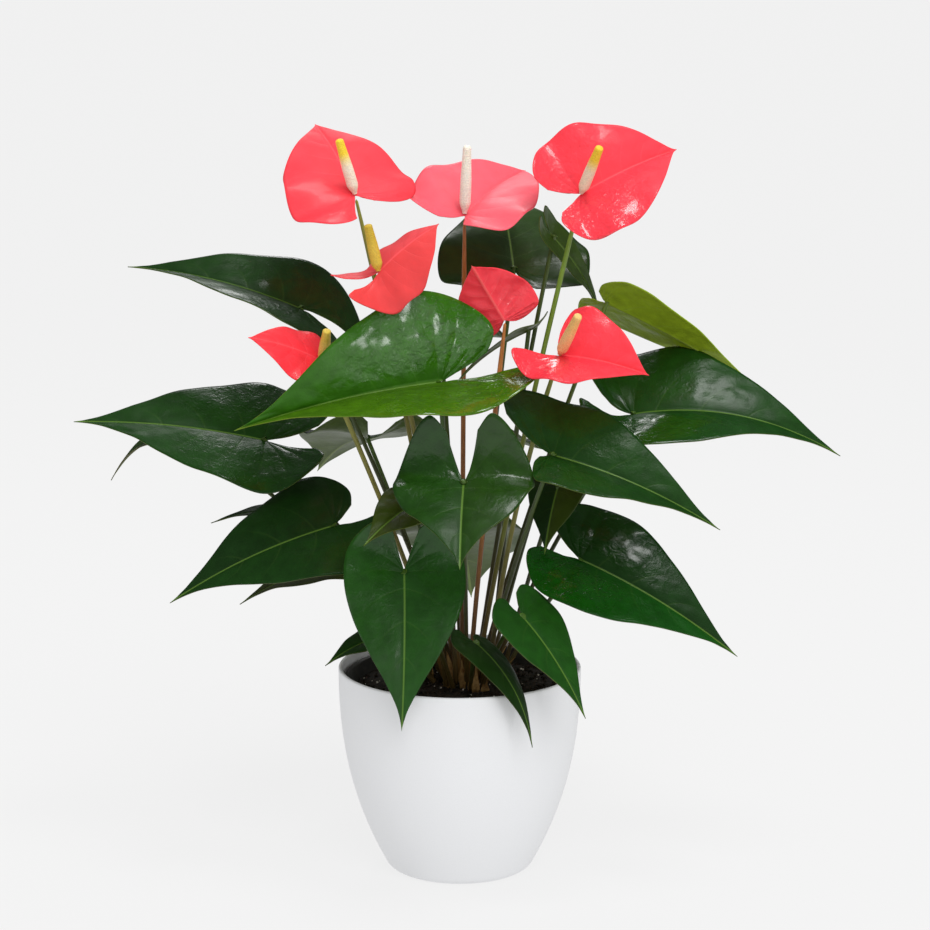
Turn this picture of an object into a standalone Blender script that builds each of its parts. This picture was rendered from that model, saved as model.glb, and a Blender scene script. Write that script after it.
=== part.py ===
"""Potted anthurium: a white cover pot, a black grow pot, soil, leaves and flowers.

Sizes are in millimetres and become metres where each piece is made. The pot's
base stands on z = 0 with its axis on Z, and the plant's front looks along -Y.
"""

import math

import bmesh
import bpy
from mathutils import Vector

# ---- driving dimensions, mm ----
POT_HEIGHT = 163.5
POT_RIM_RADIUS = 95.7
POT_FOOT_RADIUS = 56.0
POT_SWELL = 2.35
POT_FOOT_ROUND = 5.0
POT_WALL = 3.0
RIM_CLEARANCE = 5.2
FOOT_CLEARANCE = 7.0
GROW_POT_WALL = 1.4
RIM_DROP = 6.5
SOIL_DROP = 12.0
BLADE_THICK = 0.9
SPATHE_THICK = 0.8
LEAF_STALK = 1.7
FLOWER_STALK = 1.9
SPADIX_RADIUS = 4.3
RING = (8.5, 18.0, 28.0)
FOOT_APART = 6.2
GAP = 0.3

MM = 0.001
SOIL_TOP = POT_HEIGHT - SOIL_DROP
GROW_POT_RADIUS = POT_RIM_RADIUS - POT_WALL - RIM_CLEARANCE
GROW_POT_FOOT = POT_FOOT_RADIUS - POT_WALL - FOOT_CLEARANCE

# The blades below are set out over this soil level and around this rim; they
# rise with the soil, and the one that hangs over the rim moves out with it.
SET_OUT_SOIL = 151.5
SET_OUT_RIM = 95.7
PLANT_RISE = Vector((0, 0, SOIL_TOP - SET_OUT_SOIL))
CROWN = Vector((6.0, 0.0, SOIL_TOP))

# A blade's half outline: along the rib from the stalk (0) to the tip (1), out
# to the side, and where the vein that ends there leaves the rib. The last row of
# veins is the notch's edge.
LEAF_HALF = (
    (1.00, 0.000, 1.00), (0.94, 0.011, 0.93), (0.84, 0.045, 0.80), (0.68, 0.130, 0.60),
    (0.50, 0.240, 0.40), (0.30, 0.340, 0.20), (0.08, 0.400, 0.05), (-0.12, 0.380, 0.00),
    (-0.26, 0.285, 0.00), (-0.32, 0.180, 0.00), (-0.27, 0.090, 0.00),
)
SPATHE_HALF = (
    (1.00, 0.000, 1.00), (0.95, 0.025, 0.93), (0.86, 0.110, 0.80), (0.72, 0.245, 0.62),
    (0.54, 0.380, 0.42), (0.33, 0.480, 0.22), (0.10, 0.520, 0.05), (-0.12, 0.480, 0.00),
    (-0.25, 0.370, 0.00), (-0.30, 0.240, 0.00), (-0.24, 0.125, 0.00),
)


class Habit:
    """How one blade grows: where it joins its stalk, where its tip is, and its bends."""

    def __init__(self, name, joint, tip, wide=1.0, roll=0, fold=10, arch=0.06, lobe=0.4,
                 curl=-8, sweep=0.0, twist=0, wave=0.02, beat=0.0, ear=1.0, skew=0.0,
                 bow=0.12, hangs=False):
        self.name = name
        self.joint = Vector(joint) + PLANT_RISE
        self.tip = Vector(tip) + PLANT_RISE
        if hangs:
            out = Vector((tip[0], tip[1], 0)).normalized() * (POT_RIM_RADIUS - SET_OUT_RIM)
            self.joint += out
            self.tip += out
        self.wide = wide
        self.roll = math.radians(roll)
        self.fold = math.radians(fold)
        self.arch = arch
        self.lobe = lobe
        self.curl = math.radians(curl)
        self.sweep = sweep
        self.twist = math.radians(twist)
        self.wave = wave
        self.beat = beat
        self.foot = None
        self.bow = bow
        self.ear = ear
        self.skew = skew
        self.length = (self.tip - self.joint).length
        self.ahead = (self.tip - self.joint).normalized()
        level = self.ahead.cross(Vector((0, 0, 1))).normalized()
        crest = level.cross(self.ahead)
        self.side = level * math.cos(self.roll) - crest * math.sin(self.roll)
        self.up = crest * math.cos(self.roll) + level * math.sin(self.roll)


LEAVES = (
    Habit("top_left", (-124, 30, 443), (-262, 60, 472), wide=0.8, roll=-20, fold=24, arch=0.05,
          lobe=-0.5),
    Habit("left_broad", (-154, 32, 338), (-305, 36, 352), wide=1.0, roll=-30, fold=10, arch=0.04,
          sweep=0.0),
    Habit("left_rear", (-205, 84, 328), (-283, 92, 293), wide=0.8, roll=-5, arch=0.2),
    Habit("centre_bright", (-14, -40, 399), (-169, -80, 369), wide=1.08, roll=-50, fold=49, arch=0.06,
          lobe=0.25, ear=1.15, skew=-0.2),
    Habit("front_centre", (3, -114, 336), (0, -184, 286), wide=1.52, roll=4, arch=0.06, lobe=0.95, ear=1.3),
    Habit("front_left", (-42, -86, 261), (-44, -110, 142), wide=0.96, roll=-14, ear=1.0),
    Habit("small_olive", (-34, -70, 310), (-72, -110, 286), roll=-20),
    Habit("low_left", (-97, -25, 282), (-224, -45, 225), wide=0.95, roll=-33, fold=10, ear=0.7, skew=-0.3),
    Habit("low_left_under", (-89, 85, 228), (-179, 80, 192), roll=-10),
    Habit("low_left_rear", (-134, 30, 281), (-198, 36, 270), wide=0.7, roll=-5),
    Habit("rim_left", (-62, -20, 192), (-105, -35, 172), roll=-10),
    Habit("top_rear", (43, 76, 467), (32, 165, 520), wide=1.45, roll=0, fold=15, ear=1.2),
    Habit("top_hanging", (73, 36, 499), (112, 68, 432), wide=0.4, roll=70),
    Habit("mid_rear", (54, 2, 431), (-4, -14, 391), wide=0.9, roll=20, ear=0.8),
    Habit("right_lime", (114, 22, 449), (237, 50, 377), wide=0.65, roll=-30, fold=10, arch=0.02, ear=0.3),
    Habit("right_broad", (135, 12, 363), (297, 0, 332), wide=0.95, roll=29, fold=22, arch=0.12,
          lobe=1.2, ear=0.8),
    Habit("right_mid", (70, -74, 348), (196, -96, 295), wide=0.85, roll=34, fold=26, ear=0.7, skew=-0.7),
    Habit("low_right", (93, -40, 259), (213, -72, 190), wide=0.88, roll=38, fold=15, ear=0.8),
    Habit("front_right", (47, -94, 228), (95, -114, 153), wide=0.85, roll=20, ear=0.7, bow=0.3),
    Habit("front_dark", (12, -76, 202), (55, -107, 128), wide=0.55, roll=0, fold=-6, arch=0.12,
          ear=0.4, skew=0.4, hangs=True),
    Habit("right_hanging", (76, -28, 314), (65, -58, 267), roll=0),
    Habit("back_high", (-15, 80, 410), (-50, 200, 385), roll=0),
    Habit("back_left", (-74, 76, 331), (-120, 190, 280), roll=5, fold=14),
    Habit("back_right", (75, 80, 320), (150, 185, 270), roll=0),
    Habit("back_low", (0, 80, 250), (10, 190, 170), roll=0),
)

# spathe habit, spadix end, spadix radius factor
FLOWERS = (
    (Habit("left_high", (-80, -2, 536), (-113, 60, 584), wide=1.2, roll=-5, fold=5, skew=-0.6),
     (-92, -12, 580), 1.0),
    (Habit("middle_high", (4, 20, 518), (52, 95, 544), wide=1.05, roll=14, fold=24),
     (6, 9, 573), 1.0),
    (Habit("right_high", (93, -10, 538), (167, 15, 569), wide=1.15, roll=50, fold=26, ear=1.15),
     (106, -38, 577), 1.0),
    (Habit("left_mid", (-61, -52, 484), (-16, -40, 518), wide=1.15, roll=36, fold=-24, lobe=0.6, ear=1.8),
     (-69, -58, 521), 1.0),
    (Habit("centre", (34, -24, 443), (9, -44, 488), wide=1.1, roll=60, fold=18, ear=0.5),
     (25, 2, 461), 1.0),
    (Habit("right_side", (76, -52, 421), (142, -76, 410), wide=1.1, roll=39, fold=31, ear=0.85,
           skew=0.7, bow=0.35),
     (89, -88, 457), 1.0),
    (Habit("left_low", (-104, -45, 415), (-159, -62, 436), wide=1.0, roll=-36, fold=0),
     (-100, -58, 441), 1.0),
)


def spline(points, u):
    """Smooth curve through a list of equal-length tuples, u in spans."""
    last = len(points) - 1
    i = min(int(u), last - 1)
    t = u - i
    a, b, c, d = (points[max(i - 1, 0)], points[i], points[i + 1], points[min(i + 2, last)])
    out = []
    for p, q, r, s in zip(a, b, c, d):
        out.append(0.5 * (2 * q + (r - p) * t + (2 * p - 5 * q + 4 * r - s) * t * t
                          + (3 * q - p - 3 * r + s) * t * t * t))
    return out


def bend(habit, along, out):
    """Place a point of the flat blade (in blade lengths) where the habit bends it."""
    side = 1.0 if out >= 0 else -1.0
    far = abs(out) * habit.wide
    if along >= 0:
        lift = 4 * habit.arch * along * (1 - along)
        sway = 4 * habit.sweep * along * (1 - along)
    else:
        along *= habit.ear * (1 + side * habit.skew)
        lift = 4 * habit.arch * along + 3 * habit.lobe * along * along
        sway = 4 * habit.sweep * along
    angle = habit.fold + habit.curl * far / 0.4
    spread = far * math.cos(angle)
    lift += far * math.sin(angle)
    lift += habit.wave * math.sin(12 * along + habit.beat + 0.9 * side) * (far / 0.4) ** 2
    turn = habit.twist * along
    x = side * spread * math.cos(turn) + lift * math.sin(turn) + sway
    z = lift * math.cos(turn) - side * spread * math.sin(turn)
    place = habit.ahead * along + habit.side * x + habit.up * z
    return habit.joint + place * habit.length


def blade_sheet(habit, half, rows, columns):
    """The blade's middle surface as a mesh: veins run from the rib out to the margin."""
    mesh = bmesh.new()
    spans = len(half) - 1
    rib = {}

    def rib_vertex(s):
        key = round(s, 5)
        if key not in rib:
            rib[key] = mesh.verts.new(bend(habit, s, 0.0))
        return rib[key]

    tip = rib_vertex(1.0)
    for side in (1, -1):
        before = [tip] * (columns + 1)
        for i in range(1, rows + 1):
            along, out, start = spline(half, spans * i / rows)
            start = max(0.0, min(start, 1.0))
            line = [rib_vertex(start)]
            for j in range(1, columns + 1):
                t = j / columns
                a = start + (along - start) * t
                line.append(mesh.verts.new(bend(habit, a, side * out * t)))
            for j in range(columns):
                ring = [before[j], line[j], line[j + 1], before[j + 1]]
                if side > 0:
                    ring.reverse()
                ring = [v for k, v in enumerate(ring) if v is not ring[k - 1]]
                if len(ring) > 2:
                    mesh.faces.new(ring)
            before = line
    return mesh


def thicken(mesh, thick):
    """Turn a sheet into a closed skin of even thickness about its middle."""
    bmesh.ops.triangulate(mesh, faces=mesh.faces[:])
    mesh.normal_update()
    top = mesh.verts[:]
    sheet = mesh.faces[:]
    rim = [e for e in mesh.edges if e.is_boundary]
    shift = {v: v.normal * (thick / 2) for v in top}
    below = {v: mesh.verts.new(v.co - shift[v]) for v in top}
    walls = []
    for e in rim:
        loop = e.link_loops[0]
        a, b = loop.vert, loop.link_loop_next.vert
        walls.append((a, b))
    for f in sheet:
        mesh.faces.new([below[v] for v in reversed(f.verts)])
    for a, b in walls:
        mesh.faces.new([b, a, below[a], below[b]])
    for v in top:
        v.co += shift[v]
    bmesh.ops.triangulate(mesh, faces=mesh.faces[:])


def sweep_tube(path, radii, sides, level_foot=True):
    """A closed tube along a path of points with a radius at each."""
    mesh = bmesh.new()
    rings = []
    across = None
    for i, p in enumerate(path):
        ahead = (path[min(i + 1, len(path) - 1)] - path[max(i - 1, 0)]).normalized()
        if i == 0 and level_foot:
            ahead = Vector((0, 0, 1))
        if across is None:
            across = ahead.orthogonal().normalized()
        across = (across - ahead * across.dot(ahead)).normalized()
        other = ahead.cross(across)
        ring = []
        for k in range(sides):
            a = 2 * math.pi * k / sides
            ring.append(mesh.verts.new(p + (across * math.cos(a) + other * math.sin(a)) * radii[i]))
        rings.append(ring)
    for lower, upper in zip(rings, rings[1:]):
        for k in range(sides):
            n = (k + 1) % sides
            mesh.faces.new([lower[k], lower[n], upper[n], upper[k]])
    mesh.faces.new(list(reversed(rings[0])))
    mesh.faces.new(rings[-1])
    bmesh.ops.triangulate(mesh, faces=mesh.faces[:])
    return mesh


def lathe(profile, sides):
    """A solid of revolution from (radius, height) points that start and end on the axis."""
    mesh = bmesh.new()
    rings = []
    for r, z in profile:
        if r < 1e-6:
            rings.append([mesh.verts.new((0, 0, z))])
        else:
            ring = []
            for k in range(sides):
                a = 2 * math.pi * k / sides
                ring.append(mesh.verts.new((r * math.cos(a), r * math.sin(a), z)))
            rings.append(ring)
    for one, two in zip(rings, rings[1:]):
        for k in range(sides):
            n = (k + 1) % sides
            face = [one[k % len(one)], one[n % len(one)], two[n % len(two)], two[k % len(two)]]
            face = [v for i, v in enumerate(face) if v is not face[i - 1]]
            mesh.faces.new(face)
    bmesh.ops.recalc_face_normals(mesh, faces=mesh.faces[:])
    bmesh.ops.triangulate(mesh, faces=mesh.faces[:])
    return mesh


def material(name, colour, roughness):
    made = bpy.data.materials.new(name)
    made.use_nodes = True
    shader = made.node_tree.nodes["Principled BSDF"]
    shader.inputs["Base Color"].default_value = (*colour, 1.0)
    shader.inputs["Roughness"].default_value = roughness
    return made


def finish(mesh, name, colour, roughness):
    """Make the named piece from a mesh in millimetres."""
    for v in mesh.verts:
        v.co *= MM
    data = bpy.data.meshes.new(name)
    mesh.to_mesh(data)
    mesh.free()
    data.materials.append(material(name, colour, roughness))
    piece = bpy.data.objects.new(name, data)
    bpy.context.scene.collection.objects.link(piece)
    return piece


def pot_radius(z):
    """Outside radius of the cover pot at a height: near upright at the rim, rounded in at the foot."""
    left = 1 - max(z, 0.0) / POT_HEIGHT
    low = max(POT_FOOT_ROUND - z, 0.0)
    corner = POT_FOOT_ROUND - math.sqrt(POT_FOOT_ROUND ** 2 - low ** 2)
    return POT_FOOT_RADIUS + (POT_RIM_RADIUS - POT_FOOT_RADIUS) * (1 - left ** POT_SWELL) - corner


def cover_pot():
    neck = POT_HEIGHT - 18.5
    heights = [0.0, 0.6, 2.0, 5.0, 10.0]
    heights += [10.0 + (neck - 10.0) * step / 135 for step in (8, 20, 38, 60, 85, 112, 135)]
    profile = [(0.0, 0.0)]
    profile += [(pot_radius(z), z) for z in heights]
    top = POT_RIM_RADIUS
    profile += [(top, POT_HEIGHT - 0.8), (top - 0.9, POT_HEIGHT), (top - 2.0, POT_HEIGHT)]
    inner = [(pot_radius(z) - POT_WALL * 1.05, z) for z in reversed(heights[4:])]
    profile += inner
    profile += [(pot_radius(5.0) - POT_WALL * 1.9, 5.0), (pot_radius(2.0) - POT_WALL * 2, POT_WALL)]
    profile += [(0.0, POT_WALL)]
    return lathe(profile, 48)


def grow_pot():
    top = POT_HEIGHT - RIM_DROP
    base = POT_WALL + GAP
    wall = GROW_POT_WALL
    profile = [
        (0.0, base), (GROW_POT_FOOT, base), (GROW_POT_FOOT + 11, base + 9.5),
        (GROW_POT_RADIUS - 1.5, top - 4), (GROW_POT_RADIUS + 2.5, top - 4),
        (GROW_POT_RADIUS + 2.5, top), (GROW_POT_RADIUS - 1.5 - wall, top),
        (GROW_POT_FOOT + 11 - wall, base + 10), (GROW_POT_FOOT - 1, base + wall),
        (0.0, base + wall),
    ]
    return lathe(profile, 40)


def potting_soil():
    base = POT_WALL + GAP + GROW_POT_WALL + GAP
    top_wall = GROW_POT_RADIUS - 1.5 - GROW_POT_WALL
    low_wall = GROW_POT_FOOT + 11 - GROW_POT_WALL
    low = POT_WALL + GAP + 10
    high = POT_HEIGHT - RIM_DROP

    def wall_at(z):
        return low_wall + (top_wall - low_wall) * (z - low) / (high - low) - GAP - 0.3

    edge = SOIL_TOP - 4.0
    profile = [(0.0, base), (GROW_POT_FOOT - 2.0, base), (wall_at(low + 1), low + 1),
               (wall_at(edge), edge), (wall_at(edge) - 12, SOIL_TOP - 1.5),
               (40.0, SOIL_TOP - 0.3), (0.0, SOIL_TOP)]
    return lathe(profile, 40)


def bezier(a, b, c, d, t):
    s = 1 - t
    return a * s ** 3 + b * (3 * s * s * t) + c * (3 * s * t * t) + d * t ** 3


def spread_feet(habits, radius, apart):
    """Set a ring of stalks on the soil, each towards the side it leans to, pushed apart evenly."""
    def lean(habit):
        return math.atan2(habit.joint.y - CROWN.y, habit.joint.x - CROWN.x)

    row = sorted(habits, key=lean)
    angles = [lean(habit) for habit in row]
    least = apart / radius
    for _ in range(400):
        for i in range(len(row)):
            j = (i + 1) % len(row)
            turn = 2 * math.pi if j == 0 else 0.0
            short = least - (angles[j] + turn - angles[i])
            if short > 0:
                angles[i] -= short / 2
                angles[j] += short / 2
    for habit, angle in zip(row, angles):
        out = Vector((math.cos(angle), math.sin(angle), 0.0))
        habit.foot = CROWN + out * radius + Vector((0, 0, GAP))


def plant_feet():
    """Low blades stand on the outer ring of the crown, high ones inside."""
    habits = list(LEAVES) + [row[0] for row in FLOWERS]
    habits.sort(key=lambda habit: -habit.joint.z)
    spread_feet(habits[:9], RING[0], FOOT_APART)
    spread_feet(habits[9:20], RING[1], FOOT_APART)
    spread_feet(habits[20:], RING[2], FOOT_APART)


def stalk_path(foot, end, bow, steps):
    """A stalk rises from its foot and leans out to the blade."""
    span = (end - foot).length
    lean = (end - foot).normalized()
    first = foot + (lean + Vector((0, 0, bow * 2))).normalized() * span * 0.35
    second = end - (lean - Vector((0, 0, bow))).normalized() * span * 0.3
    return [bezier(foot, first, second, end, i / steps) for i in range(steps + 1)]


def drop_crumbs(data):
    """Keep a mesh's largest skin: a union can leave specks and pinholes where skins graze."""
    mesh = bmesh.new()
    mesh.from_mesh(data)
    left = set(mesh.faces)
    skins = []
    while left:
        skin = []
        edge = [left.pop()]
        while edge:
            face = edge.pop()
            skin.append(face)
            for e in face.edges:
                for other in e.link_faces:
                    if other in left:
                        left.discard(other)
                        edge.append(other)
        skins.append(skin)
    skins.sort(key=len)
    crumbs = [face for skin in skins[:-1] for face in skin]
    bmesh.ops.delete(mesh, geom=crumbs, context="FACES")
    bmesh.ops.triangulate(mesh, faces=mesh.faces[:])
    mesh.to_mesh(data)
    mesh.free()


def join(one, two):
    """Grow two pieces into one closed body."""
    tool = one.modifiers.new("join", "BOOLEAN")
    tool.operation = "UNION"
    tool.solver = "MANIFOLD"
    tool.object = two
    graph = bpy.context.evaluated_depsgraph_get()
    grown = bpy.data.meshes.new_from_object(one.evaluated_get(graph))
    one.modifiers.clear()
    old = one.data
    grown.materials.clear()
    grown.materials.append(old.materials[0])
    drop_crumbs(grown)
    one.data = grown
    one.data.name = one.name
    bpy.data.meshes.remove(old)
    spare = two.data
    bpy.data.objects.remove(two)
    bpy.data.meshes.remove(spare)


def leaf(habit, colour):
    sheet = blade_sheet(habit, LEAF_HALF, 12, 3)
    thicken(sheet, BLADE_THICK)
    blade = finish(sheet, "leaf_" + habit.name, colour, 0.35)
    path = stalk_path(habit.foot, habit.joint, habit.bow, 5)
    lean = (path[-1] - path[-2]).normalized()
    knee = habit.joint + habit.ahead * 0.6 + habit.side * 0.17
    path[-1] = knee - lean * 3.6
    path += [knee - lean * 2.2, knee - lean * 0.3, knee + lean * 1.3, knee + lean * 2.1]
    r = LEAF_STALK
    radii = [r * 1.25, r, r, r, r, r, r * 1.5, r * 1.75, r * 1.3, r * 0.5]
    stalk = finish(sweep_tube(path, radii, 6), "stalk_tool", colour, 0.5)
    join(blade, stalk)
    return blade


def flower(habit, spadix_end, stout):
    sheet = blade_sheet(habit, SPATHE_HALF, 12, 3)
    thicken(sheet, SPATHE_THICK)
    finish(sheet, "spathe_" + habit.name, (0.9, 0.09, 0.1), 0.25)
    end = Vector(spadix_end) + PLANT_RISE
    lean = (end - habit.joint).normalized()
    start = habit.joint + lean * 1.6
    r = SPADIX_RADIUS * stout
    neck = habit.joint + lean * 7.0
    path = [start, start + lean * 2.5, neck, neck.lerp(end, 0.5), neck.lerp(end, 0.9), end]
    spadix = sweep_tube(path, [r * 0.25, r * 0.45, r, r * 0.95, r * 0.75, r * 0.3], 10, False)
    finish(spadix, "spadix_" + habit.name, (0.8, 0.6, 0.2), 0.6)
    path = stalk_path(habit.foot, habit.joint - lean * 2.8, habit.bow, 6)
    radii = [FLOWER_STALK * 1.2] + [FLOWER_STALK] * 5 + [FLOWER_STALK * 0.6]
    finish(sweep_tube(path, radii, 6), "stalk_" + habit.name, (0.16, 0.15, 0.04), 0.5)


def main():
    for thing in list(bpy.data.objects):
        bpy.data.objects.remove(thing)
    finish(cover_pot(), "cover_pot", (0.85, 0.86, 0.87), 0.5)
    finish(grow_pot(), "grow_pot", (0.012, 0.012, 0.012), 0.5)
    finish(potting_soil(), "potting_soil", (0.02, 0.014, 0.01), 0.95)
    plant_feet()
    for habit in LEAVES:
        leaf(habit, (0.02, 0.1, 0.015))
    for habit, spadix_end, stout in FLOWERS:
        flower(habit, spadix_end, stout)


main()
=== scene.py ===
"""Looks for the potted anthurium: waxy leaves, lacquered coral spathes, beaded spadices,
dark potting mix and a matte white pot, each laid over its solid in the frame."""

import math
import random

import bmesh
import bpy
from mathutils import Euler, Matrix, Vector, noise


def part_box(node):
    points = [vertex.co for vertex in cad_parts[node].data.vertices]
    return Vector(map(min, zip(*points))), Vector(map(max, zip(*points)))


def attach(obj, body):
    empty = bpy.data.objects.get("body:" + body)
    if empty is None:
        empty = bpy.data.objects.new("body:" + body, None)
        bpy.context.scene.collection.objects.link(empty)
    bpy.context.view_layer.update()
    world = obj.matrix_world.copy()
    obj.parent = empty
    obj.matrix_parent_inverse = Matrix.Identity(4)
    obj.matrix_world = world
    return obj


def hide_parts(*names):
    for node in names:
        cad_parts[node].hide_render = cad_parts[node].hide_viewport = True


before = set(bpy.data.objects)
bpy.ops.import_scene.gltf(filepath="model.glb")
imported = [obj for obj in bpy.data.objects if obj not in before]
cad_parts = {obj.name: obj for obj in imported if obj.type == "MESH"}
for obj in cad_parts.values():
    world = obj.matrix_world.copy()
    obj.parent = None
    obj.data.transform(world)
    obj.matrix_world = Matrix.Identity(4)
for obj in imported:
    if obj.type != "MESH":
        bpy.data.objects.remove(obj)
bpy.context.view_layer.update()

MM = 0.001

# ---- sizes, mm ----
POT_HEIGHT = 163.5
POT_RIM = 95.7
POT_FOOT = 56.0
POT_SWELL = 2.35
POT_FOOT_ROUND = 5.0
POT_WALL = 3.0
GROW_POT = 87.5
RIM_DROP = 6.5
SOIL_TOP = 151.5
LEAF_STALK = 1.7
FLOWER_STALK = 1.9
SPADIX = 4.3
RING = (8.5, 18.0, 28.0)
FOOT_APART = 6.2
CROWN = Vector((6.0, 0.0, SOIL_TOP))
BLADE_SHEET = 0.7
WIDEST = 0.4


# ---- camera, floor and light ----
def hex_tone(code):
    """An sRGB hex value as linear red, green and blue."""
    parts = [int(code[i:i + 2], 16) / 255 for i in (1, 3, 5)]
    return tuple(c / 12.92 if c <= 0.04045 else ((c + 0.055) / 1.055) ** 2.4 for c in parts)


def node(tree, kind, inputs=None, **settings):
    """Add a node; inputs gives each socket a value or another node's output."""
    made = tree.nodes.new(kind)
    for name, value in settings.items():
        setattr(made, name, value)
    for socket, value in (inputs or {}).items():
        if isinstance(value, bpy.types.NodeSocket):
            tree.links.new(value, made.inputs[socket])
        else:
            made.inputs[socket].default_value = value
    return made


def new_material(name):
    made = bpy.data.materials.new(name)
    made.use_nodes = True
    return made, made.node_tree, made.node_tree.nodes["Principled BSDF"]


def studio():
    camera = bpy.data.objects.new("camera", bpy.data.cameras.new("camera"))
    camera.location = (0.0, -2.40908, 0.83310)
    camera.rotation_euler = (math.radians(90 - 11.912), 0.0, math.radians(-0.0998))
    camera.data.lens = 122.24
    camera.data.sensor_width = 36.0
    camera.data.clip_end = 200.0
    bpy.context.scene.collection.objects.link(camera)
    bpy.context.scene.camera = camera
    bpy.context.scene.view_settings.view_transform = "Standard"

    world = bpy.data.worlds.new("white room")
    bpy.context.scene.world = world
    world.use_nodes = True
    tree = world.node_tree
    tree.nodes.clear()
    seen = node(tree, "ShaderNodeBackground", {"Color": (0.896, 0.896, 0.896, 1), "Strength": 1.0})
    lit = node(tree, "ShaderNodeBackground", {"Color": (1.0, 1.0, 1.0, 1), "Strength": 0.78})
    mirrored = node(tree, "ShaderNodeBackground", {"Color": (1.0, 1.0, 1.0, 1), "Strength": 0.08})
    path = node(tree, "ShaderNodeLightPath")
    room = node(tree, "ShaderNodeMixShader",
                {0: path.outputs["Is Glossy Ray"], 1: lit.outputs[0], 2: mirrored.outputs[0]})
    both = node(tree, "ShaderNodeMixShader",
                {0: path.outputs["Is Camera Ray"], 1: room.outputs[0], 2: seen.outputs[0]})
    node(tree, "ShaderNodeOutputWorld", {"Surface": both.outputs[0]})

    mesh = bmesh.new()
    bmesh.ops.create_grid(mesh, x_segments=1, y_segments=1, size=60.0)
    data = bpy.data.meshes.new("floor")
    mesh.to_mesh(data)
    mesh.free()
    floor = bpy.data.objects.new("floor", data)
    bpy.context.scene.collection.objects.link(floor)
    paper, tree, shader = new_material("pale floor paper")
    shader.inputs["Base Color"].default_value = (0.10, 0.10, 0.10, 1)
    shader.inputs["Roughness"].default_value = 1.0
    shader.inputs["Specular IOR Level"].default_value = 0.0
    shader.inputs["Emission Color"].default_value = (1.0, 1.0, 1.0, 1)
    shader.inputs["Emission Strength"].default_value = 0.775
    data.materials.append(paper)

    sun = bpy.data.objects.new("key", bpy.data.lights.new("key", "SUN"))
    sun.data.energy = 1.0
    sun.data.angle = math.radians(30)
    sun.visible_glossy = False
    sun.rotation_euler = Euler((math.radians(44), 0.0, math.radians(14)))
    bpy.context.scene.collection.objects.link(sun)
    for name, place, aim, size, power in (
            ("top box", (0.35, -0.45, 2.0), (0.05, 0.0, 0.4), 0.5, 12.0),
            ("low box", (1.25, -1.7, 0.4), (0.0, 0.0, 0.42), 0.25, 3.0),
            ("back box", (-0.1, 1.5, 1.6), (0.0, 0.0, 0.4), 0.4, 5.0)):
        lamp = bpy.data.objects.new(name, bpy.data.lights.new(name, "AREA"))
        lamp.data.shape = "SQUARE"
        lamp.data.size = size
        lamp.data.energy = power
        lamp.location = place
        lamp.rotation_euler = (Vector(aim) - Vector(place)).to_track_quat("-Z", "Y").to_euler()
        bpy.context.scene.collection.objects.link(lamp)


studio()

# ---- the shapes that leaves and spathes grow in ----
# Half outlines: along the rib from the stalk (0) to the tip (1), out to the
# side, and where the vein that ends there leaves the rib.
LEAF_HALF = (
    (1.00, 0.000, 1.00), (0.94, 0.011, 0.93), (0.84, 0.045, 0.80), (0.68, 0.130, 0.60),
    (0.50, 0.240, 0.40), (0.30, 0.340, 0.20), (0.08, 0.400, 0.05), (-0.12, 0.380, 0.00),
    (-0.26, 0.285, 0.00), (-0.32, 0.180, 0.00), (-0.27, 0.090, 0.00),
)
SPATHE_HALF = (
    (1.00, 0.000, 1.00), (0.95, 0.025, 0.93), (0.86, 0.110, 0.80), (0.72, 0.245, 0.62),
    (0.54, 0.380, 0.42), (0.33, 0.480, 0.22), (0.10, 0.520, 0.05), (-0.12, 0.480, 0.00),
    (-0.25, 0.370, 0.00), (-0.30, 0.240, 0.00), (-0.24, 0.125, 0.00),
)


class Habit:
    """How one blade grows: where it joins its stalk, where its tip is, its bends, and how
    wet each half looks near the stalk (gleam)."""

    def __init__(self, name, joint, tip, wide=1.0, roll=0, fold=10, arch=0.06, lobe=0.4,
                 curl=-8, wave=0.02, ear=1.0, skew=0.0, bow=0.12, gleam=(0.15, 0.15)):
        self.name = name
        self.joint = Vector(joint)
        self.tip = Vector(tip)
        self.wide = wide
        self.roll = math.radians(roll)
        self.fold = math.radians(fold)
        self.arch = arch
        self.lobe = lobe
        self.curl = math.radians(curl)
        self.wave = wave
        self.foot = None
        self.bow = bow
        self.ear = ear
        self.skew = skew
        self.gleam = gleam
        self.length = (self.tip - self.joint).length
        self.ahead = (self.tip - self.joint).normalized()
        level = self.ahead.cross(Vector((0, 0, 1))).normalized()
        crest = level.cross(self.ahead)
        self.side = level * math.cos(self.roll) - crest * math.sin(self.roll)
        self.up = crest * math.cos(self.roll) + level * math.sin(self.roll)


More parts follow.
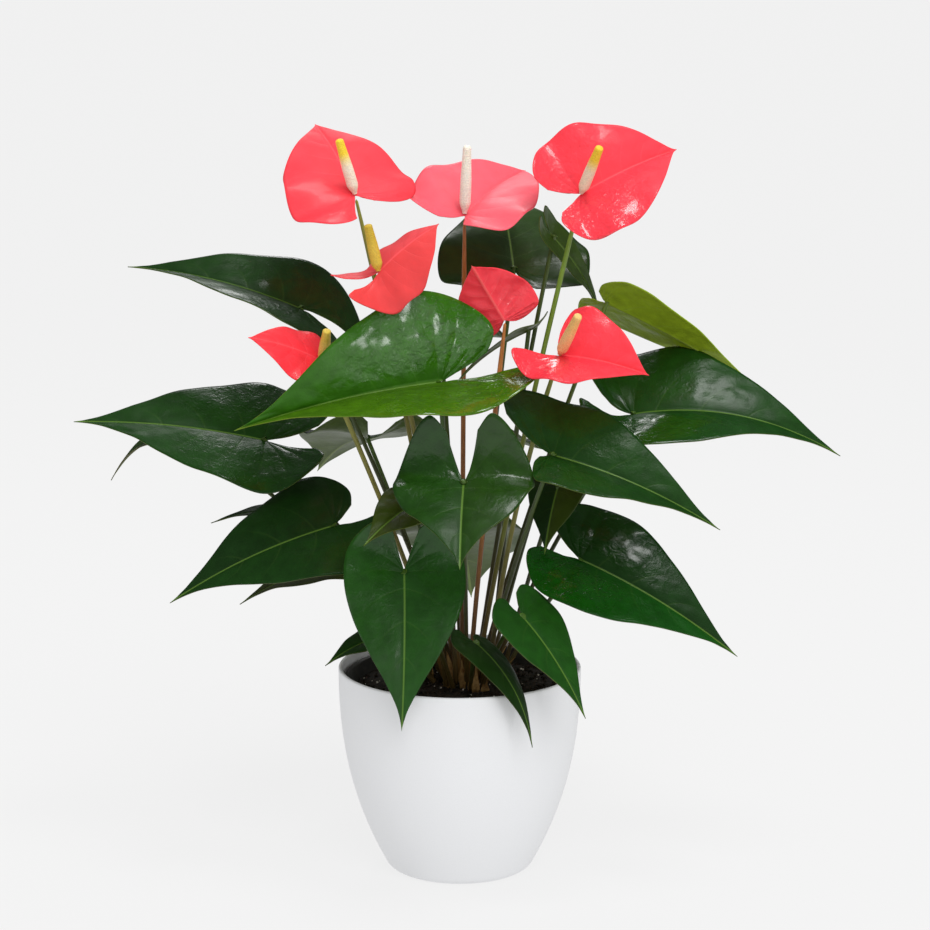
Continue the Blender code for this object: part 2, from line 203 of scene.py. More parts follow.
# Each leaf's habit, then its colours: one half, the other half, the underside,
# and how much its face is puckered between the veins. Where a leaf's two halves differ,
# the difference is painted light and shade: the half turned to the light is paler and
# more vivid, the half turned away darker.
DARK = ("#1d4a16", "#1a4414", "#4a5f22")
LEAVES = (
    (Habit("top_left", (-124, 30, 443), (-262, 60, 472), wide=0.8, roll=-20, fold=24, arch=0.05,
           lobe=-0.5, gleam=(0.3, 0.3)), ("#1b430f", "#183f0d", "#475817"), 1.0),
    (Habit("left_broad", (-154, 32, 338), (-305, 36, 352), wide=1.0, roll=-30, fold=10,
           arch=0.04, gleam=(0.45, 0.35)),
     ("#1c480f", "#19480c", "#475817"), 0.9),
    (Habit("left_rear", (-205, 84, 328), (-283, 92, 293), wide=0.8, roll=-5, arch=0.2),
     ("#2e4a12", "#2e4a12", "#4d4c15"), 0.6),
    (Habit("centre_bright", (-14, -40, 399), (-169, -80, 369), wide=1.08, roll=-50, fold=49,
           arch=0.06, lobe=0.25, ear=1.15, skew=-0.2, gleam=(1.0, 1.0)),
     ("#37740a", "#4a7907", "#637a15"), 1.6),
    (Habit("front_centre", (3, -114, 336), (0, -184, 286), wide=1.52, roll=4, arch=0.06,
           lobe=0.95, ear=1.3, gleam=(0.4, 0.4)), ("#204a0f", "#254a0e", "#475817"), 0.9),
    (Habit("front_left", (-42, -86, 261), (-44, -110, 142), wide=0.96, roll=-14, gleam=(0.3, 0.3)),
     ("#1e520d", "#1e560c", "#475817"), 0.7),
    (Habit("small_olive", (-34, -70, 310), (-72, -110, 286), roll=-20),
     ("#3c500a", "#3c4e0a", "#4f5a12"), 0.8),
    (Habit("low_left", (-97, -25, 282), (-224, -45, 225), wide=0.95, roll=-33, fold=10, ear=0.7,
           skew=-0.3), ("#163d0d", "#18440d", "#3c4712"), 0.8),
    (Habit("low_left_under", (-89, 85, 228), (-179, 80, 192), roll=-10),
     ("#39460e", "#39460e", "#3c3f0d"), 0.6),
    (Habit("low_left_rear", (-134, 30, 281), (-198, 36, 270), wide=0.7, roll=-5),
     ("#1e3f0e", "#1e3f0e", "#3c4712"), 0.6),
    (Habit("rim_left", (-62, -20, 192), (-105, -35, 172), roll=-10),
     ("#1f4a0e", "#1f4a0e", "#3c4712"), 0.6),
    (Habit("top_rear", (43, 76, 467), (32, 165, 520), wide=1.45, roll=0, fold=15, ear=1.2),
     ("#2b4a13", "#2b4a13", "#365017"), 0.9),
    (Habit("top_hanging", (73, 36, 499), (112, 68, 432), wide=0.4, roll=70),
     ("#3c5a0f", "#3c5a0f", "#526412"), 0.5),
    (Habit("mid_rear", (54, 2, 431), (-4, -14, 391), wide=0.9, roll=20, ear=0.8),
     ("#35490f", "#284010", "#475517"), 0.7),
    # its lime face and underside are part its own pale colour, part painted light raised to stand
    # for the light it catches
    (Habit("right_lime", (114, 22, 449), (237, 50, 377), wide=0.65, roll=-30, fold=10, arch=0.02,
           ear=0.3), ("#86a01e", "#4a6416", "#93ad20"), 0.8),
    (Habit("right_broad", (135, 12, 363), (297, 0, 332), wide=0.95, roll=29, fold=22, arch=0.12,
           lobe=1.2, ear=0.8, gleam=(1.0, 0.3)), ("#174a0d", "#1b4a0f", "#475817"), 1.3),
    (Habit("right_mid", (70, -74, 348), (196, -96, 295), wide=0.85, roll=34, fold=26, ear=0.7,
           skew=-0.7, gleam=(0.5, 0.35)), ("#18460d", "#1c4a0e", "#475817"), 0.8),
    (Habit("low_right", (93, -40, 259), (213, -72, 190), wide=0.88, roll=38, fold=15, ear=0.8,
           gleam=(0.9, 0.5)),
     ("#0f5408", "#153f0c", "#475817"), 1.2),
    (Habit("front_right", (47, -94, 228), (95, -114, 153), wide=0.85, roll=20, ear=0.7, bow=0.3),
     ("#1b520c", "#1d560d", "#475817"), 0.7),
    (Habit("front_dark", (12, -76, 202), (55, -107, 128), wide=0.55, roll=0, fold=-6, arch=0.12,
           ear=0.4, skew=0.4), ("#1c3d0e", "#1c3d0e", "#3a450f"), 0.6),
    (Habit("right_hanging", (76, -28, 314), (65, -58, 267), roll=0),
     ("#17360e", "#3c500c", "#475817"), 0.6),
    (Habit("back_high", (-15, 80, 410), (-50, 200, 385), roll=0), DARK, 0.8),
    (Habit("back_left", (-74, 76, 331), (-120, 190, 280), roll=5, fold=14), DARK, 0.8),
    (Habit("back_right", (75, 80, 320), (150, 185, 270), roll=0), DARK, 0.8),
    (Habit("back_low", (0, 80, 250), (10, 190, 170), roll=0), DARK, 0.7),
)

# Each spathe's habit, its spadix's end, the spathe's two halves and its back, the
# spadix at its base and its end, the top of its stalk, and how much it is puckered.
FLOWERS = (
    (Habit("left_high", (-80, -2, 536), (-113, 60, 584), wide=1.2, roll=-5, fold=5, skew=-0.6,
           gleam=(0.12, 0.12)),
     (-92, -12, 580), ("#f23c48", "#f23c48", "#d9464c"), ("#efe6cf", "#f2d32a"), "#757a24", 0.6),
    (Habit("middle_high", (4, 20, 518), (52, 95, 544), wide=1.05, roll=14, fold=24,
           gleam=(0.05, 0.05)),
     (6, 9, 573), ("#ee5a68", "#ee5a68", "#e0606a"), ("#efe9da", "#f4eedd"), "#9a5a20", 0.5),
    (Habit("right_high", (93, -10, 538), (167, 15, 569), wide=1.15, roll=50, fold=26, ear=1.15,
           gleam=(0.9, 0.5)),
     (106, -38, 577), ("#f03a48", "#f03a48", "#d9464c"), ("#f0dfc2", "#f0c92c"), "#6a8a20", 1.0),
    (Habit("left_mid", (-61, -52, 484), (-16, -40, 518), wide=1.15, roll=36, fold=-24, lobe=0.6,
           ear=1.8, gleam=(0.05, 0.05)),
     (-69, -58, 521), ("#dd3f40", "#e0444a", "#c9483c"), ("#d9b53c", "#c9a92c"), "#7a7a24", 0.6),
    (Habit("centre", (34, -24, 443), (9, -44, 488), wide=1.1, roll=60, fold=18, ear=0.5,
           gleam=(0.4, 0.4)),
     (25, 2, 461), ("#ee3240", "#ee3240", "#ea3c48"), ("#efe0c0", "#efd27a"), "#a8662a", 1.6),
    (Habit("right_side", (76, -52, 421), (142, -76, 410), wide=1.1, roll=39, fold=31, ear=0.85,
           skew=0.7, bow=0.35, gleam=(0.75, 0.4)),
     (89, -88, 457), ("#f03644", "#f03644", "#d9464c"), ("#f2c98a", "#f1c577"), "#7d8430", 1.0),
    (Habit("left_low", (-104, -45, 415), (-159, -62, 436), wide=1.0, roll=-36, fold=0,
           gleam=(0.4, 0.4)),
     (-100, -58, 441), ("#ee2a36", "#ee2a36", "#cf3a38"), ("#e6d06a", "#dcc04a"), "#8a8a3a", 0.8),
)


def spline(points, u):
    """Smooth curve through a list of equal-length tuples, u in spans."""
    last = len(points) - 1
    i = min(int(u), last - 1)
    t = u - i
    a, b, c, d = (points[max(i - 1, 0)], points[i], points[i + 1], points[min(i + 2, last)])
    out = []
    for p, q, r, s in zip(a, b, c, d):
        out.append(0.5 * (2 * q + (r - p) * t + (2 * p - 5 * q + 4 * r - s) * t * t
                          + (3 * q - p - 3 * r + s) * t * t * t))
    return out


def bend(habit, along, out, side):
    """Place a point of the flat blade (in blade lengths) where the habit bends it."""
    far = abs(out) * habit.wide
    if along >= 0:
        lift = 4 * habit.arch * along * (1 - along)
    else:
        along *= habit.ear * (1 + side * habit.skew)
        lift = 4 * habit.arch * along + 3 * habit.lobe * along * along
    angle = habit.fold + habit.curl * far / WIDEST
    spread = far * math.cos(angle)
    lift += far * math.sin(angle)
    lift += habit.wave * math.sin(12 * along + 0.9 * side) * (far / WIDEST) ** 2
    place = habit.ahead * along + habit.side * side * spread + habit.up * lift
    return habit.joint + place * habit.length


def ease(low, high, x):
    """Rise smoothly from 0 at low to 1 at high."""
    t = min(max((x - low) / (high - low), 0.0), 1.0)
    return t * t * (3 - 2 * t)


def keep(mesh, name, finishes, body="root"):
    """Make a piece from a mesh in millimetres and let it ride on its body."""
    bmesh.ops.scale(mesh, vec=(MM, MM, MM), verts=mesh.verts)
    for face in mesh.faces:
        face.smooth = True
    data = bpy.data.meshes.new(name)
    mesh.to_mesh(data)
    mesh.free()
    for finish in finishes:
        data.materials.append(finish)
    piece = bpy.data.objects.new(name, data)
    bpy.context.scene.collection.objects.link(piece)
    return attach(piece, body)


def blade_mesh(habit, half, rows, columns, veins, pucker, colours):
    """A blade's middle surface: a grid laid from tip to sinus (rows) and margin to margin."""
    mesh = bmesh.new()
    bmesh.ops.create_grid(mesh, x_segments=rows, y_segments=columns * 2, size=1.0)
    spans = len(half) - 1
    vein_map = mesh.loops.layers.uv.new("veins")
    skin_map = mesh.loops.layers.uv.new("skin")
    tint = mesh.verts.layers.float_color.new("tint")
    under = mesh.verts.layers.float_color.new("under")
    wet = mesh.verts.layers.float.new("wet")
    puff = mesh.verts.layers.float.new("puff")
    one, other, back = [hex_tone(code) for code in colours]
    size = habit.length
    where = {}
    for v in mesh.verts:
        u = (v.co.x + 1) / 2
        across = v.co.y
        side = 1.0 if across > 0 else -1.0
        t = abs(across)
        along, out, start = spline(half, spans * u)
        start = max(0.0, min(start, 1.0))
        a = start + (along - start) * t
        o = max(out, 0.0) * t
        count = veins * (u + 0.07 * t * t)
        where[v] = (count, across, o * size * habit.wide, a * size)
        spot = Vector((a * size, side * o * size, 7.0 * size))
        hill = math.sin(math.pi * (count % 1.0)) ** 0.8
        fade = ease(0.0, 0.16, t) * ease(1.02, 0.8, t)
        body = ease(0.0, 4.0, o * size)
        lift = pucker * 0.45 * (hill - 0.5) * fade * body
        lift += 0.9 * noise.noise(spot / 22.0) * ease(0.0, 12.0, o * size)
        lift += pucker * 0.35 * noise.noise(spot / 7.0) * fade * body
        lift -= 0.55 * math.exp(-(o * size / 1.3) ** 2) * ease(1.0, 0.85, a)
        v[puff] = lift
        # each half of the face takes its own colour; where the two differ, that is painted light
        # and shade
        v[tint] = (*(one if side > 0 else other), 1.0)
        v[under] = (*back, 1.0)
        gleam = habit.gleam[0] if side > 0 else habit.gleam[1]
        v[wet] = gleam * ease(0.75, 0.1, a) * ease(0.05, 0.3, t)
        v.co = bend(habit, a, o, side)
    for face in mesh.faces:
        signs = sum(where[loop.vert][1] for loop in face.loops)
        for loop in face.loops:
            count, across, o, a = where[loop.vert]
            loop[vein_map].uv = (count, across)
            loop[skin_map].uv = (math.copysign(o, signs) / 100.0, a / 100.0)
    bmesh.ops.remove_doubles(mesh, verts=mesh.verts, dist=0.002)
    bmesh.ops.dissolve_degenerate(mesh, dist=0.001, edges=mesh.edges)
    mesh.normal_update()
    if sum(f.normal.dot(habit.up) * f.calc_area() for f in mesh.faces) < 0:
        bmesh.ops.reverse_faces(mesh, faces=mesh.faces)
        mesh.normal_update()
    for v in mesh.verts:
        v.co += v.normal * v[puff]
    mesh.verts.layers.float.remove(puff)
    return mesh


def thicken(piece, thick):
    """Give a sheet its thickness; the back takes the second finish, the margin the third."""
    wall = piece.modifiers.new("thickness", "SOLIDIFY")
    wall.thickness = thick
    wall.offset = 0.0
    wall.use_even_offset = False
    wall.material_offset = 1
    wall.material_offset_rim = 2


def bezier(a, b, c, d, t):
    """Point on a cubic curve from a to d."""
    s = 1 - t
    return a * s ** 3 + b * (3 * s * s * t) + c * (3 * s * t * t) + d * t ** 3


def spread_feet(habits, radius, apart):
    """Set a ring of stalks on the soil, each towards the side it leans to, pushed apart."""
    def lean(habit):
        return math.atan2(habit.joint.y - CROWN.y, habit.joint.x - CROWN.x)

    row = sorted(habits, key=lean)
    angles = [lean(habit) for habit in row]
    least = apart / radius
    for _ in range(400):
        for i in range(len(row)):
            j = (i + 1) % len(row)
            turn = 2 * math.pi if j == 0 else 0.0
            short = least - (angles[j] + turn - angles[i])
            if short > 0:
                angles[i] -= short / 2
                angles[j] += short / 2
    for habit, angle in zip(row, angles):
        out = Vector((math.cos(angle), math.sin(angle), 0.0))
        habit.foot = CROWN + out * radius + Vector((0, 0, 0.3))


def stalk_path(foot, end, bow, steps):
    """A stalk rises from its foot and leans out to the blade."""
    span = (end - foot).length
    lean = (end - foot).normalized()
    first = foot + (lean + Vector((0, 0, bow * 2))).normalized() * span * 0.35
    second = end - (lean - Vector((0, 0, bow))).normalized() * span * 0.3
    return [bezier(foot, first, second, end, i / steps) for i in range(steps + 1)]


def rod_mesh(path, radius, rows, sides, tint, knobs=None):
    """A closed rod on a smooth line: a grid rolled into a tube, drawn to a point at each end."""
    mesh = bmesh.new()
    bmesh.ops.create_grid(mesh, x_segments=rows, y_segments=sides, size=1.0)
    layer = mesh.verts.layers.float_color.new("tint")
    skin = mesh.loops.layers.uv.new("skin")
    last = len(path) - 1
    frames = []
    across = None
    for i in range(rows + 1):
        u = i / rows
        here = Vector(spline(path, last * u))
        ahead = Vector(spline(path, last * min(u + 0.01, 1.0)))
        ahead = (ahead - Vector(spline(path, last * max(u - 0.01, 0.0)))).normalized()
        across = ahead.orthogonal() if across is None else across
        across = (across - ahead * across.dot(ahead)).normalized()
        frames.append((here, across, ahead.cross(across)))
    length = sum((b - a).length for (a, _, _), (b, _, _) in zip(frames, frames[1:]))
    where = {}
    for v in mesh.verts:
        u = (v.co.x + 1) / 2
        turn = v.co.y * math.pi
        here, one, two = frames[round(u * rows)]
        r = radius(u)
        where[v] = (v.co.y, u * length, r)
        if knobs:
            r += knobs(u, turn)
        v[layer] = (*tint(u, turn), 1.0)
        v.co = here + (one * math.cos(turn) + two * math.sin(turn)) * r
    for face in mesh.faces:
        for loop in face.loops:
            y, far, r = where[loop.vert]
            loop[skin].uv = (y * math.pi * r / 100.0, far / 100.0)
    bmesh.ops.remove_doubles(mesh, verts=mesh.verts, dist=0.0005)
    bmesh.ops.dissolve_degenerate(mesh, dist=0.0003, edges=mesh.edges)
    bmesh.ops.recalc_face_normals(mesh, faces=mesh.faces)
    return mesh


def mix(a, b, t):
    """Blend two colours."""
    return tuple(p + (q - p) * t for p, q in zip(a, b))


# ---- finishes ----
def blade_finish(name, tint, depth, rib_tone, rib, vein, rough, mottle, grain):
    """A waxy blade: tint from the attribute, paler rib and veins from the blade's own maps."""
    made, tree, shader = new_material(name)
    base = node(tree, "ShaderNodeAttribute", attribute_name=tint).outputs["Color"]
    wet = node(tree, "ShaderNodeAttribute", attribute_name="wet").outputs["Fac"]
    veins = node(tree, "ShaderNodeUVMap", uv_map="veins").outputs[0]
    skin = node(tree, "ShaderNodeUVMap", uv_map="skin").outputs[0]
    place = node(tree, "ShaderNodeTexCoord").outputs["Object"]
    count = node(tree, "ShaderNodeSeparateXYZ", {0: veins})
    span = node(tree, "ShaderNodeSeparateXYZ", {0: skin})

    # side veins: a thin line wherever the vein count passes a whole number
    turn = node(tree, "ShaderNodeMath", {0: count.outputs[0], 1: 0.5}, operation="PINGPONG")
    line = node(tree, "ShaderNodeMapRange",
                {"Value": turn.outputs[0], "From Max": 0.05, "To Min": 1.0, "To Max": 0.0},
                interpolation_type="SMOOTHSTEP")
    reach = node(tree, "ShaderNodeMath", {0: count.outputs[1]}, operation="ABSOLUTE")
    fade = node(tree, "ShaderNodeMapRange",
                {"Value": reach.outputs[0], "From Min": 0.1, "From Max": 0.9,
                 "To Min": 1.0, "To Max": 0.0})
    side_vein = node(tree, "ShaderNodeMath", {0: line.outputs[0], 1: fade.outputs[0]},
                     operation="MULTIPLY")
    faint = node(tree, "ShaderNodeMath", {0: side_vein.outputs[0], 1: vein}, operation="MULTIPLY")

    # the rib: solid for 0.4 mm each side and gone by 1.1 mm
    off = node(tree, "ShaderNodeMath", {0: span.outputs[0]}, operation="ABSOLUTE")
    middle = node(tree, "ShaderNodeMapRange",
                  {"Value": off.outputs[0], "From Min": 0.004, "From Max": 0.011,
                   "To Min": rib, "To Max": 0.0}, interpolation_type="SMOOTHSTEP")
    pale = node(tree, "ShaderNodeMath", {0: faint.outputs[0], 1: middle.outputs[0]},
                operation="MAXIMUM")

    # slow mottling about 9 mm across
    slow = node(tree, "ShaderNodeTexNoise", {"Vector": place, "Scale": 110.0, "Detail": 3.0})
    shade = node(tree, "ShaderNodeMapRange",
                 {"Value": slow.outputs[0], "From Min": 0.3, "From Max": 0.7,
                  "To Min": depth - mottle, "To Max": depth + mottle})
    shaded = node(tree, "ShaderNodeVectorMath", {0: base, "Scale": shade.outputs[0]},
                  operation="SCALE")
    colour = node(tree, "ShaderNodeMix",
                  {0: pale.outputs[0], 6: shaded.outputs[0], 7: (*hex_tone(rib_tone), 1)},
                  data_type="RGBA")
    tree.links.new(colour.outputs[2], shader.inputs["Base Color"])

    # wet parts are smoother and lacquered over
    smooth = node(tree, "ShaderNodeMapRange", {"Value": wet, "To Min": rough, "To Max": 0.2})
    tree.links.new(smooth.outputs[0], shader.inputs["Roughness"])
    lacquer = node(tree, "ShaderNodeMath", {0: wet, 1: 0.8}, operation="MULTIPLY")
    tree.links.new(lacquer.outputs[0], shader.inputs["Coat Weight"])
    shader.inputs["Coat Roughness"].default_value = 0.14
    shader.inputs["Specular IOR Level"].default_value = 0.28

    # relief: fine grain, sunk veins, and crinkles 5 mm across on the wet parts
    fine = node(tree, "ShaderNodeTexNoise", {"Vector": place, "Scale": 700.0, "Detail": 2.0})
    crinkle = node(tree, "ShaderNodeTexNoise",
                   {"Vector": place, "Scale": 170.0, "Detail": 2.0, "Distortion": 0.8})
    creased = node(tree, "ShaderNodeMath", {0: crinkle.outputs[0], 1: wet}, operation="MULTIPLY")
    creased = node(tree, "ShaderNodeMath", {0: creased.outputs[0], 1: 9.0}, operation="MULTIPLY")
    raised = node(tree, "ShaderNodeMath",
                  {0: fine.outputs[0], 1: grain, 2: creased.outputs[0]}, operation="MULTIPLY_ADD")
    sunk = node(tree, "ShaderNodeMath",
                {0: side_vein.outputs[0], 1: -0.4, 2: raised.outputs[0]},
                operation="MULTIPLY_ADD")
    relief = node(tree, "ShaderNodeBump",
                  {"Height": sunk.outputs[0], "Distance": 0.3 * MM, "Strength": 0.8})
    tree.links.new(relief.outputs[0], shader.inputs["Normal"])
    return made


LEAF_FACE = blade_finish("waxy leaf upper face", "tint", 0.66, "#6f9438", 0.45, 0.05, 0.44, 0.1,
                         0.4)
LEAF_BACK = blade_finish("matt leaf underside", "under", 0.8, "#7f8f4c", 0.5, 0.2, 0.55, 0.12,
                         0.6)
LEAF_EDGE = blade_finish("leaf margin", "under", 0.9, "#7f8f4c", 0.0, 0.1, 0.5, 0.1, 0.2)
SPATHE_FACE = blade_finish("lacquered spathe face", "tint", 0.95, "#ff6a70", 0.25, 0.10, 0.5,
                           0.05, 0.3)
SPATHE_BACK = blade_finish("satin spathe back", "under", 0.95, "#f58078", 0.3, 0.2, 0.45, 0.06,
                           0.4)
SPATHE_EDGE = blade_finish("spathe margin", "tint", 1.0, "#ff8a90", 0.0, 0.1, 0.4, 0.05, 0.2)
for finish in (SPATHE_FACE, SPATHE_BACK, SPATHE_EDGE):
    shader = finish.node_tree.nodes["Principled BSDF"]
    shader.inputs["Subsurface Weight"].default_value = 0.15
    shader.inputs["Subsurface Radius"].default_value = (0.004, 0.0015, 0.001)
    shader.inputs["Subsurface Scale"].default_value = 1.0


def stalk_finish():
    """Smooth fleshy stalk: satin skin, fine lengthways streaks about 1 mm apart."""
    made, tree, shader = new_material("satin plant stalk")
    base = node(tree, "ShaderNodeAttribute", attribute_name="tint").outputs["Color"]
    skin = node(tree, "ShaderNodeUVMap", uv_map="skin").outputs[0]
    long = node(tree, "ShaderNodeMapping", {0: skin, "Scale": (180.0, 9.0, 1.0)})
    streak = node(tree, "ShaderNodeTexNoise",
                  {"Vector": long.outputs[0], "Scale": 1.0, "Detail": 3.0})
    shade = node(tree, "ShaderNodeMapRange",
                 {"Value": streak.outputs[0], "From Min": 0.3, "From Max": 0.7,
                  "To Min": 0.7, "To Max": 1.35})
    shaded = node(tree, "ShaderNodeVectorMath", {0: base, "Scale": shade.outputs[0]},
                  operation="SCALE")
    tree.links.new(shaded.outputs[0], shader.inputs["Base Color"])
    shader.inputs["Roughness"].default_value = 0.45
    relief = node(tree, "ShaderNodeBump",
                  {"Height": streak.outputs[0], "Distance": 0.15 * MM, "Strength": 0.5})
    tree.links.new(relief.outputs[0], shader.inputs["Normal"])
    return made


def spadix_finish():
    """Spadix: hundreds of tiny closed flowers, satin and slightly translucent."""
    made, tree, shader = new_material("beaded spadix")
    base = node(tree, "ShaderNodeAttribute", attribute_name="tint").outputs["Color"]
    place = node(tree, "ShaderNodeTexCoord").outputs["Object"]
    cells = node(tree, "ShaderNodeTexVoronoi", {"Vector": place, "Scale": 900.0})
    # the colour is darkest where the cells meet: painted shade in the gaps between the tiny
    # flowers
    shade = node(tree, "ShaderNodeMapRange",
                 {"Value": cells.outputs["Distance"], "From Max": 0.7,
                  "To Min": 1.06, "To Max": 0.82})
    shaded = node(tree, "ShaderNodeVectorMath", {0: base, "Scale": shade.outputs[0]},
                  operation="SCALE")
    tree.links.new(shaded.outputs[0], shader.inputs["Base Color"])
    shader.inputs["Roughness"].default_value = 0.5
    shader.inputs["Subsurface Weight"].default_value = 0.1
    shader.inputs["Subsurface Radius"].default_value = (0.002, 0.0015, 0.0008)
    shader.inputs["Subsurface Scale"].default_value = 1.0
    low = node(tree, "ShaderNodeMath", {0: cells.outputs["Distance"], 1: -1.0},
               operation="MULTIPLY")
    relief = node(tree, "ShaderNodeBump",
                  {"Height": low.outputs[0], "Distance": 0.5 * MM, "Strength": 0.7})
    tree.links.new(relief.outputs[0], shader.inputs["Normal"])
    return made


STALK = stalk_finish()
BEADS = spadix_finish()


# ---- plant ----
def seat(pieces, solid):
    """Centre pieces on the box of the solid they stand for."""
    low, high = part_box(solid)
    points = [v.co for piece in pieces for v in piece.data.vertices]
    least = Vector([min(p[i] for p in points) for i in range(3)])
    most = Vector([max(p[i] for p in points) for i in range(3)])
    shift = Matrix.Translation((low + high) / 2 - (least + most) / 2)
    for piece in pieces:
        piece.data.transform(shift)


def leaf(habit, colours, pucker):
    solid = "leaf_" + habit.name
    rows, columns = 96, 20
    veins = 9 if habit.length > 100 else 7
    mesh = blade_mesh(habit, LEAF_HALF, rows, columns, veins, pucker, colours)
    blade = keep(mesh, "blade_" + habit.name, (LEAF_FACE, LEAF_BACK, LEAF_EDGE))
    path = stalk_path(habit.foot, habit.joint, habit.bow, 5)
    lean = (path[-1] - path[-2]).normalized()
    knee = habit.joint + habit.ahead * 0.6 + habit.side * 0.17
    path[-1] = knee - lean * 3.6
    path.append(knee + lean * 1.2)
    foot_tone = hex_tone("#4f3d18")
    low_tone = hex_tone("#333a12")
    high_tone = mix(hex_tone("#46601a"), hex_tone(colours[0]), 0.3)

    def radius(u):
        swell = math.exp(-((u - 0.965) / 0.035) ** 2) * 0.75
        base = 0.35 * ease(0.12, 0.0, u)
        tip = ease(1.0, 0.985, u) * ease(0.0, 0.004, u)
        return LEAF_STALK * (1.0 + swell + base) * tip

    def tint(u, turn):
        if u < 0.35:
            return mix(foot_tone, low_tone, ease(0.0, 0.35, u))
        return mix(low_tone, high_tone, ease(0.35, 1.0, u))

    stalk = keep(rod_mesh(path, radius, 80, 14, tint), "leafstalk_" + habit.name, (STALK,))
    seat((blade, stalk), solid)
    thicken(blade, BLADE_SHEET * MM)
    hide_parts(solid)


def flower(habit, end, colours, bead_tones, stalk_tone, pucker):
    mesh = blade_mesh(habit, SPATHE_HALF, 96, 22, 10, pucker, colours)
    spathe = keep(mesh, "petal_" + habit.name, (SPATHE_FACE, SPATHE_BACK, SPATHE_EDGE))
    seat((spathe,), "spathe_" + habit.name)
    thicken(spathe, BLADE_SHEET * MM)
    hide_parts("spathe_" + habit.name)

    end = Vector(end)
    lean = (end - habit.joint).normalized()
    line = [habit.joint + lean * 1.0, habit.joint.lerp(end, 0.35), habit.joint.lerp(end, 0.7), end]
    base_tone, end_tone = [hex_tone(code) for code in bead_tones]

    def radius(u):
        full = 0.42 + 0.58 * ease(0.02, 0.2, u)
        taper = 1.0 - 0.28 * ease(0.35, 1.0, u)
        rounded = math.sqrt(max(0.0, 1.0 - max(0.0, (u - 0.93) / 0.07) ** 2))
        return SPADIX * full * taper * rounded * ease(0.0, 0.01, u)

    def tint(u, turn):
        return mix(base_tone, end_tone, ease(0.45, 0.75, u))

    def knobs(u, turn):
        spiral = math.sin(9 * turn + 95 * u) * math.sin(9 * turn - 95 * u)
        return 0.14 * spiral * ease(0.03, 0.1, u) * ease(1.0, 0.95, u)

    spadix = keep(rod_mesh(line, radius, 160, 56, tint, knobs), "beads_" + habit.name, (BEADS,))
    seat((spadix,), "spadix_" + habit.name)
    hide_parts("spadix_" + habit.name)

    path = stalk_path(habit.foot, habit.joint - lean * 2.8, habit.bow, 6)
    foot_tone = hex_tone("#5e431c")
    top_tone = hex_tone(stalk_tone)
    mid_tone = mix(foot_tone, top_tone, 0.5)

    def stem_radius(u):
        closed = ease(0.0, 0.004, u) * ease(1.0, 0.996, u)
        return FLOWER_STALK * (1.2 - 0.2 * ease(0.0, 0.15, u) - 0.4 * ease(0.85, 1.0, u)) * closed

    def stem_tint(u, turn):
        if u < 0.4:
            return mix(foot_tone, mid_tone, ease(0.0, 0.4, u))
        return mix(mid_tone, top_tone, ease(0.4, 1.0, u))

    stem = keep(rod_mesh(path, stem_radius, 90, 14, stem_tint), "stem_" + habit.name, (STALK,))
    seat((stem,), "stalk_" + habit.name)
    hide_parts("stalk_" + habit.name)


habits = [row[0] for row in LEAVES] + [row[0] for row in FLOWERS]
habits.sort(key=lambda habit: -habit.joint.z)
spread_feet(habits[:9], RING[0], FOOT_APART)
spread_feet(habits[9:20], RING[1], FOOT_APART)
spread_feet(habits[20:], RING[2], FOOT_APART)
for row in LEAVES:
    leaf(*row)
for row in FLOWERS:
    flower(*row)


# ---- pots and soil ----
def turned(profile, steps):
    """Spin a profile of (radius, height) points that starts and ends on the axis."""
    mesh = bmesh.new()
    row = [mesh.verts.new((r, 0.0, z)) for r, z in profile]
    edges = [mesh.edges.new(pair) for pair in zip(row, row[1:])]
    bmesh.ops.spin(mesh, geom=row + edges, cent=(0, 0, 0), axis=(0, 0, 1), angle=2 * math.pi,
                   steps=steps, use_merge=True)
    bmesh.ops.remove_doubles(mesh, verts=mesh.verts, dist=0.0005)
    bmesh.ops.recalc_face_normals(mesh, faces=mesh.faces)
    return mesh


def pot_radius(z):
    """Outside radius of the cover pot: near upright at the rim, rounded in at the foot."""
    left = 1 - max(z, 0.0) / POT_HEIGHT
    low = max(POT_FOOT_ROUND - z, 0.0)
    corner = POT_FOOT_ROUND - math.sqrt(POT_FOOT_ROUND ** 2 - low ** 2)
    return POT_FOOT + (POT_RIM - POT_FOOT) * (1 - left ** POT_SWELL) - corner


def speckled(name, scale, low, high, tones, rough, relief):
    """A dull finish in two tones of one fine noise, with relief in millimetres."""
    made, tree, shader = new_material(name)
    place = node(tree, "ShaderNodeTexCoord").outputs["Object"]
    grain = node(tree, "ShaderNodeTexNoise",
                 {"Vector": place, "Scale": scale, "Detail": 5.0, "Roughness": 0.65})
    share = node(tree, "ShaderNodeMapRange",
                 {"Value": grain.outputs[0], "From Min": low, "From Max": high})
    tone = node(tree, "ShaderNodeMix",
                {0: share.outputs[0], 6: (*hex_tone(tones[0]), 1), 7: (*hex_tone(tones[1]), 1)},
                data_type="RGBA")
    tree.links.new(tone.outputs[2], shader.inputs["Base Color"])
    shader.inputs["Roughness"].default_value = rough
    bump = node(tree, "ShaderNodeBump",
                {"Height": grain.outputs[0], "Distance": relief * MM, "Strength": 0.9})
    tree.links.new(bump.outputs[0], shader.inputs["Normal"])
    return made


WHITE = speckled("matte white moulded plastic", 1600.0, 0.3, 0.7, ("#dfe0e2", "#e4e5e7"), 0.5,
                 0.015)
BLACK = speckled("dull black nursery pot plastic", 220.0, 0.4, 0.75, ("#161514", "#34302b"), 0.5,
                 0.04)
PEAT = speckled("damp peat potting mix", 420.0, 0.42, 0.72, ("#0d0a07", "#42311f"), 0.85, 1.2)
PERLITE = speckled("chalky perlite", 900.0, 0.3, 0.65, ("#a59c8d", "#e6e0d4"), 0.9, 0.3)
PAPERY = speckled("dry papery leaf sheath", 260.0, 0.35, 0.7, ("#7a5526", "#b3915a"), 0.75, 0.3)


